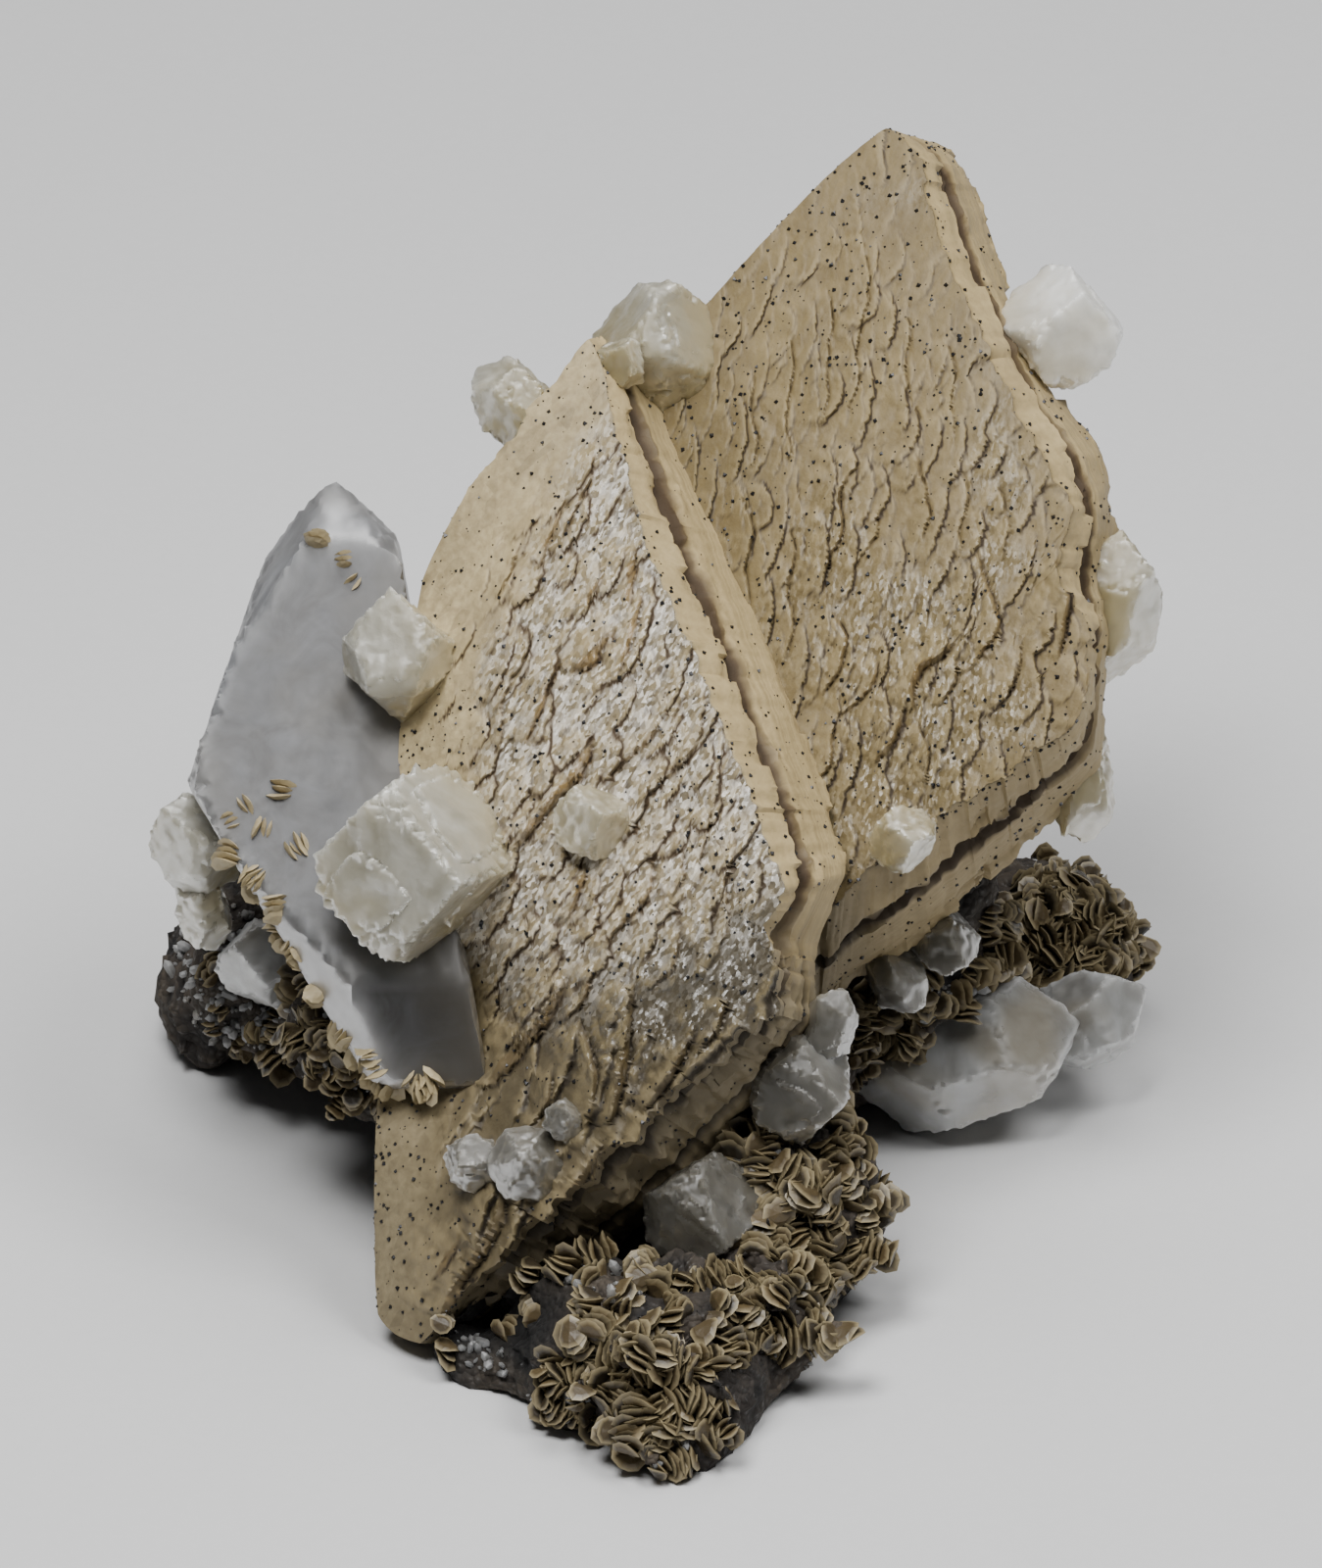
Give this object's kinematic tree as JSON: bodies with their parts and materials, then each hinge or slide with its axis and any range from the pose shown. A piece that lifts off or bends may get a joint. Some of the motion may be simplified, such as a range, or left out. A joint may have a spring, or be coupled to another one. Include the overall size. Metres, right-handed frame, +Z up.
{
  "type": "mineral specimen",
  "caption": "Natural mineral specimen: large layered tan siderite rhombs with milky quartz crystals, standing on dark rock covered with small lens-shaped siderites.",
  "frame": {"origin": "middle of the flat underside of the rock, on the surface that the specimen stands on", "axes": "+Z up; -Y to the front, where the faces of the two large siderites look; +X to the right"},
  "size_m": [0.0759, 0.0889, 0.0713],
  "materials": {
    "siderite": "pearly tan, satin on the edges",
    "quartz_white": "milky, half clear",
    "quartz_grey": "clear grey with a milky core",
    "rock": "rough, dark brown, with tan lens-shaped crystals"
  },
  "bodies": {
    "root": {"siderite_front": "siderite", "siderite_rear": "siderite", "matrix": "rock", "quartz_left_large": "quartz_grey", "quartz_left_white": "quartz_white", "quartz_left_edge": "quartz_white", "quartz_front_face": "quartz_white", "quartz_rear_face": "quartz_white", "quartz_top": "quartz_white", "quartz_left_shoulder": "quartz_white", "quartz_right_top": "quartz_white", "quartz_right_middle": "quartz_white", "quartz_right_low": "quartz_white", "quartz_low_face": "quartz_white", "quartz_corner": "quartz_white", "quartz_under_front": "quartz_white", "quartz_right_base": "quartz_grey", "quartz_under_rear": "quartz_white", "quartz_left_foot": "quartz_white", "quartz_left_rock": "quartz_grey"}
  },
  "joints": []
}
